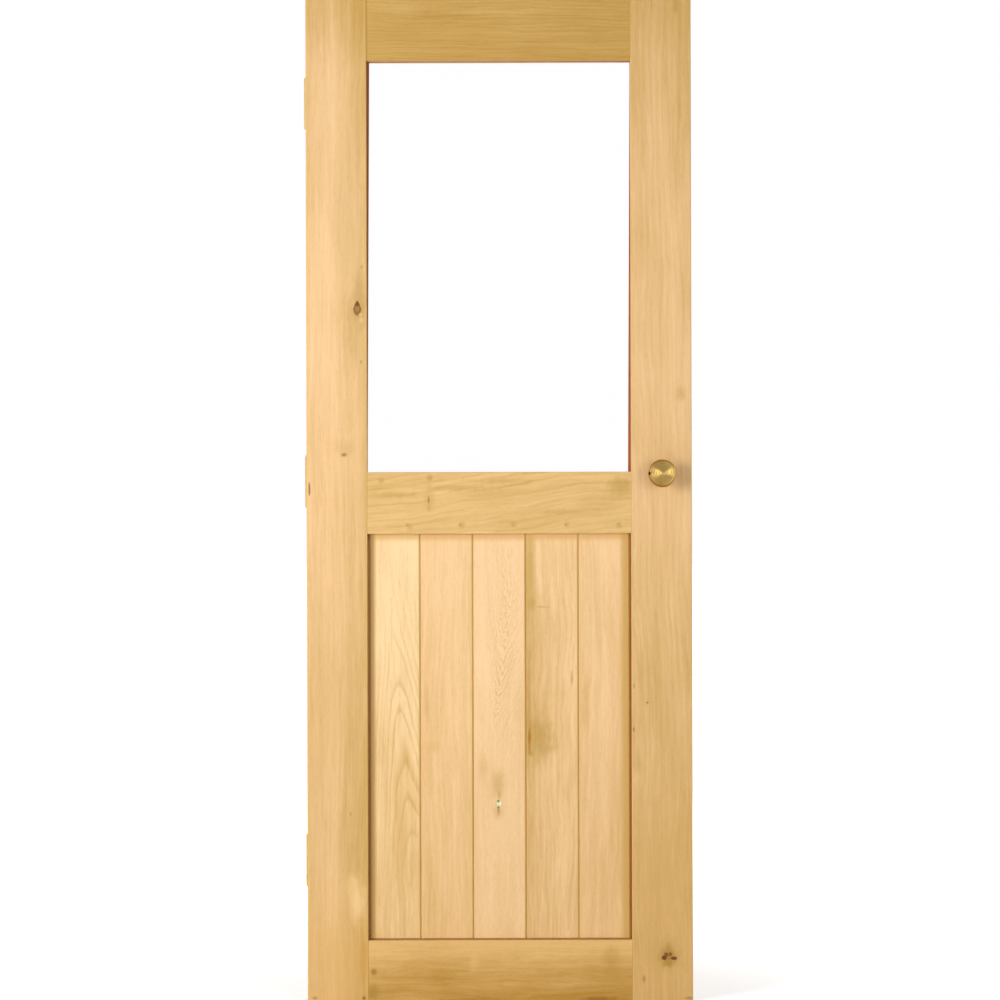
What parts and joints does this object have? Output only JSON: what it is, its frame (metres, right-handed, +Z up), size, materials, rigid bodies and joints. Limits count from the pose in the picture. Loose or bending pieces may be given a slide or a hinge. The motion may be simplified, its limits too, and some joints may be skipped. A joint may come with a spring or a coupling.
{
  "type": "glazed door",
  "caption": "Half-glazed framed oak door leaf: pane above, V-jointed boards below, turned brass knobs, sprung latch and butt hinges; swings to hang in a door frame.",
  "frame": {"origin": "middle of the leaf's bottom edge, half way through its thickness", "axes": "+Z up, +X to the lock edge, +Y to the back face, the side that the leaf opens to"},
  "size_m": [0.7678, 0.156, 1.981],
  "materials": {
    "oak_frame": "clear satin oil",
    "oak_boards": "clear satin oil",
    "oak_beads": "clear satin oil",
    "clear_glass": "clear",
    "glazing_tape": "matt brown",
    "block_plastic": "matt",
    "brass": "polished, lightly aged",
    "steel": "zinc plated"
  },
  "bodies": {
    "frame_side": {"hinge_bottom_frame_plate": "brass", "hinge_middle_frame_plate": "brass", "hinge_top_frame_plate": "brass", "hinge_bottom_pin": "brass", "hinge_middle_pin": "brass", "hinge_top_pin": "brass"},
    "leaf": {"bead_pins": "steel", "board_pegs": "oak_frame", "bottom_rail": "oak_frame", "glass_pane": "clear_glass", "glazing_bead_bottom": "oak_beads", "glazing_bead_hinge_side": "oak_beads", "glazing_bead_lock_side": "oak_beads", "glazing_bead_top": "oak_beads", "glazing_tape_back": "glazing_tape", "glazing_tape_front": "glazing_tape", "hinge_bottom_leaf_plate": "brass", "hinge_middle_leaf_plate": "brass", "hinge_screws": "brass", "hinge_stile": "oak_frame", "hinge_top_leaf_plate": "brass", "latch_case": "steel", "latch_forend": "brass", "latch_screws": "brass", "latch_spring": "steel", "lock_stile": "oak_frame", "mid_rail": "oak_frame", "panel_board_1": "oak_boards", "panel_board_2": "oak_boards", "panel_board_3": "oak_boards", "panel_board_4": "oak_boards", "panel_board_5": "oak_boards", "rose_back": "brass", "rose_front": "brass", "rose_screws": "brass", "setting_blocks": "block_plastic", "top_rail": "oak_frame"},
    "knobs": {"knob_front": "brass", "knob_back": "brass", "knob_grub_screws": "steel", "spindle": "steel", "latch_follower": "steel"},
    "bolt": {"latch_bolt": "brass"}
  },
  "joints": [
    {"name": "door_swing", "type": "hinge", "parent": "frame_side", "child": "leaf", "pos_m": [-0.3818, 0.025, 1.028], "axis": [0, 0, -1], "range_deg": [0, 180]},
    {"name": "knob_turn", "type": "hinge", "parent": "leaf", "child": "knobs", "pos_m": [0.321, 0, 1.042], "axis": [0, -1, 0], "range_deg": [0, 70]},
    {"name": "latch_slide", "type": "slide", "parent": "leaf", "child": "bolt", "axis": [1, 0, 0], "range_m": [0, 0.01], "deforming": ["latch_spring"]}
  ],
  "couplings": [
    {"joint": "latch_slide", "follows": "knob_turn", "m_per_rad": 0.00818}
  ]
}
